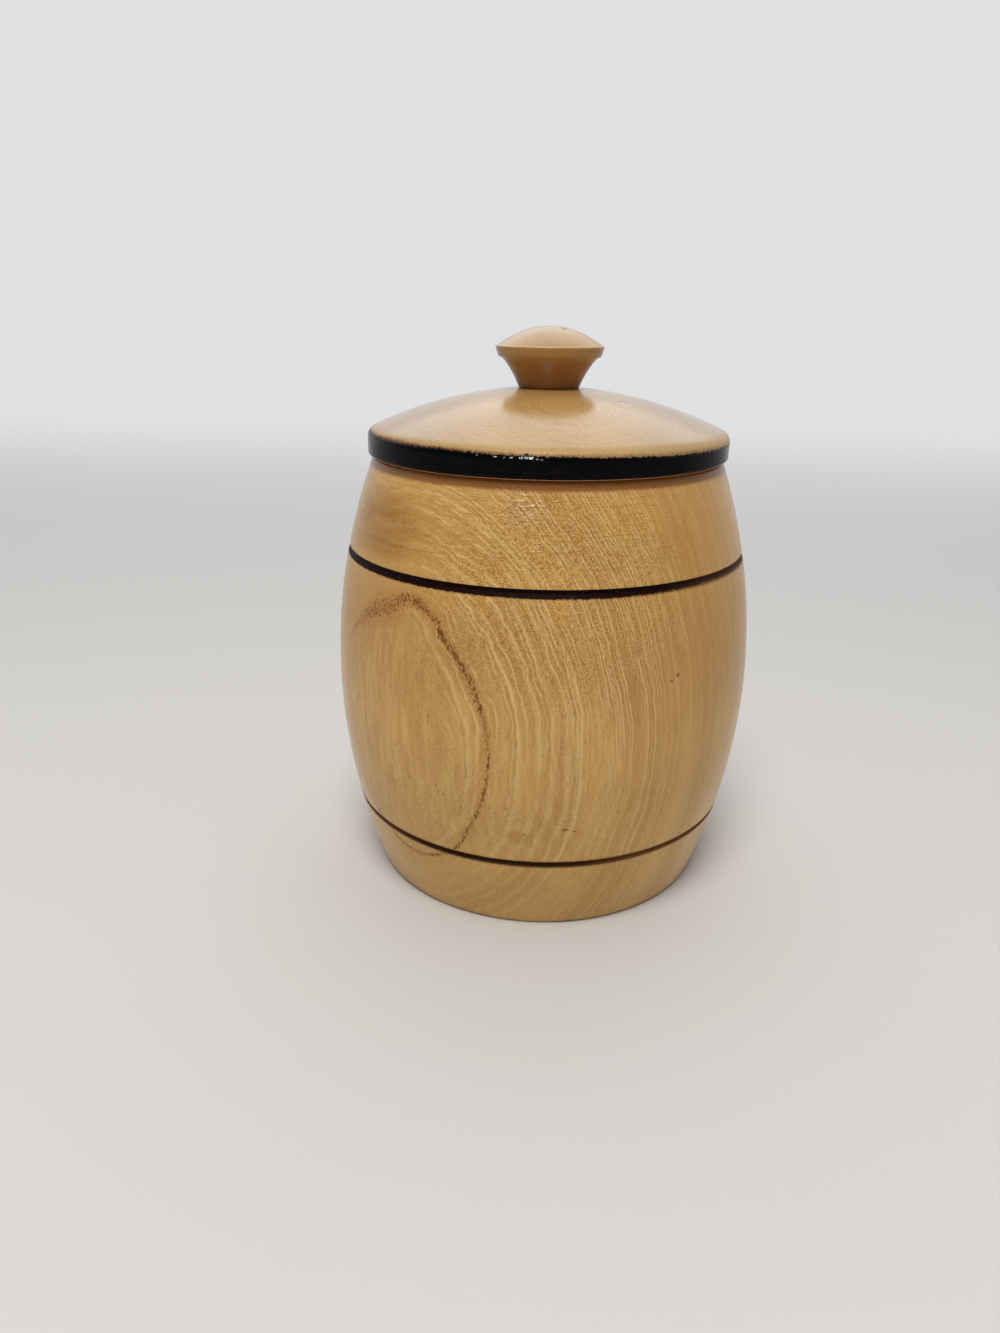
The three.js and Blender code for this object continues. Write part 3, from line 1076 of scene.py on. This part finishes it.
def build_jar():
    """The three turned pieces."""
    barrel_raw = raw_wood_material("barrel_raw_wood", BARREL_PITH, 0)
    lid_raw = raw_wood_material("lid_raw_wood", LID_PITH, LID_SEED)
    turn_piece(
        "jar_barrel", "barrel_body", "jar", barrel_outline, BARREL_STEP, barrel_finish,
        [barrel_material(), barrel_raw, burnt_material()],
    )
    turn_piece(
        "jar_lid", "lid", "lid", lid_outline, LID_STEP, lid_finish,
        [lid_material(), lid_raw], [(CHIP_SPOT, CHIP_HALF, CHIP_PUSH)],
    )
    turn_piece(
        "jar_knob", "lid_knob", "lid", knob_outline, KNOB_STEP, knob_finish,
        [knob_material(), lid_raw], [(NICK_SPOT, NICK_HALF, NICK_PUSH)], KNOB_ROUNDING,
    )


def seen_directly(nodes):
    """1 for rays that show the background: camera, glossy and transmission rays."""
    path = nodes.node("ShaderNodeLightPath")
    total = path.outputs["Is Camera Ray"]
    for name in ("Is Glossy Ray", "Is Transmission Ray"):
        total = nodes.math("MAXIMUM", total, path.outputs[name])
    return total


def studio_paper():
    """Pale paper: lit like any surface near the jar, and an even pale background further back."""
    shader = Shader("studio_paper")
    shader.dress({"Base Color": FLOOR_COLOUR, "Roughness": PAPER_ROUGHNESS})
    shader.dress({"Specular IOR Level": PAPER_SPECULAR})
    around = shader.step(shader.vector("LENGTH", shader.place), *PALE_AROUND)
    far = shader.math("MAXIMUM", shader.step(shader.y, *PALE_BEHIND), around)
    glow = shader.node("ShaderNodeEmission", None, Color=PALE_COLOUR)
    blend = shader.node("ShaderNodeMixShader")
    shader.feed(blend.inputs[0], shader.times(far, seen_directly(shader)))
    shader.feed(blend.inputs[1], shader.skin.outputs[0])
    shader.feed(blend.inputs[2], glow.outputs[0])
    shader.feed(shader.tree.nodes["Material Output"].inputs["Surface"], blend.outputs[0])
    return shader.material


def studio_sky():
    """Soft light that is bright behind and above the jar and dim behind the camera."""
    world = bpy.data.worlds.new("studio_sky")
    world.use_nodes = True
    sky = Nodes(world.node_tree)
    direction = sky.node("ShaderNodeTexCoord").outputs["Generated"]
    toward = sky.vector("DOT_PRODUCT", direction, SKY_TOWARD)
    colour = sky.mix(sky.step(toward, *SKY_RISE), SKY_DIM, SKY_BRIGHT)
    colour = sky.mix(sky.step(toward, *SOFTBOX_EDGE), colour, SOFTBOX)
    seen = sky.node("ShaderNodeLightPath").outputs["Is Camera Ray"]
    sky.feed(sky.tree.nodes["Background"].inputs["Color"], sky.mix(seen, colour, PALE_COLOUR))
    return world


def build_studio():
    """A pale floor that bends up into a backdrop, a soft key lamp and a soft sky."""
    bend = [
        (FLOOR_FAR + BACKDROP_BEND * math.sin(turn), BACKDROP_BEND * (1 - math.cos(turn)))
        for turn in (math.pi / 2 * k / BEND_STEPS for k in range(BEND_STEPS + 1))
    ]
    section = [(FLOOR_NEAR, 0)] + bend + [(FLOOR_FAR + BACKDROP_BEND, BACKDROP_TOP)]
    vertices = [
        (side * FLOOR_HALF_WIDTH * MM, y * MM, z * MM) for y, z in section for side in (-1, 1)
    ]
    faces = [(2 * k, 2 * k + 1, 2 * k + 3, 2 * k + 2) for k in range(len(section) - 1)]
    mesh = bpy.data.meshes.new("studio_floor")
    mesh.from_pydata(vertices, [], faces)
    mesh.polygons.foreach_set("use_smooth", [True] * len(faces))
    mesh.materials.append(studio_paper())
    floor = add_object("studio_floor", mesh)
    bpy.context.scene.world = studio_sky()

    lamp = bpy.data.lights.new("key_lamp", "AREA")
    lamp.shape = "DISK"
    lamp.size = KEY_SIZE * MM
    lamp.color = KEY_COLOUR
    lamp.energy = KEY_SHARE * math.pi**2 * (KEY_DISTANCE * MM) ** 2
    azimuth, elevation = math.radians(KEY_AZIMUTH), math.radians(KEY_ELEVATION)
    toward = Vector((
        math.sin(azimuth) * math.cos(elevation),
        -math.cos(azimuth) * math.cos(elevation),
        math.sin(elevation),
    ))
    middle = (cad_box[0] + cad_box[1]) / 2
    key = add_object("key_lamp", lamp)
    key.location = middle + toward * KEY_DISTANCE * MM
    key.rotation_euler = (-toward).to_track_quat("-Z", "Y").to_euler()


def build_camera():
    """The photograph's viewpoint, its pitch, yaw and small roll."""
    pitch, yaw, roll = (math.radians(a) for a in (CAMERA_PITCH, CAMERA_YAW, CAMERA_ROLL))
    level = Vector((math.cos(yaw), -math.sin(yaw), 0))
    ahead = Vector((math.sin(yaw) * math.cos(pitch), math.cos(yaw) * math.cos(pitch), -math.sin(pitch)))
    upright = level.cross(ahead)
    right = math.cos(roll) * level + math.sin(roll) * upright
    up = right.cross(ahead)
    turn = Matrix((right, up, -ahead)).transposed().to_4x4()
    data = bpy.data.cameras.new("photo_camera")
    data.sensor_width = SENSOR
    data.lens = FOCAL_PIXELS / max(IMAGE_WIDTH, IMAGE_HEIGHT) * SENSOR
    data.clip_start = CLIP_START * MM
    camera = add_object("photo_camera", data)
    camera.matrix_world = Matrix.Translation(Vector(CAMERA_PLACE) * MM) @ turn
    bpy.context.scene.camera = camera


build_jar()
build_studio()
build_camera()
bpy.context.scene.view_settings.view_transform = "Standard"
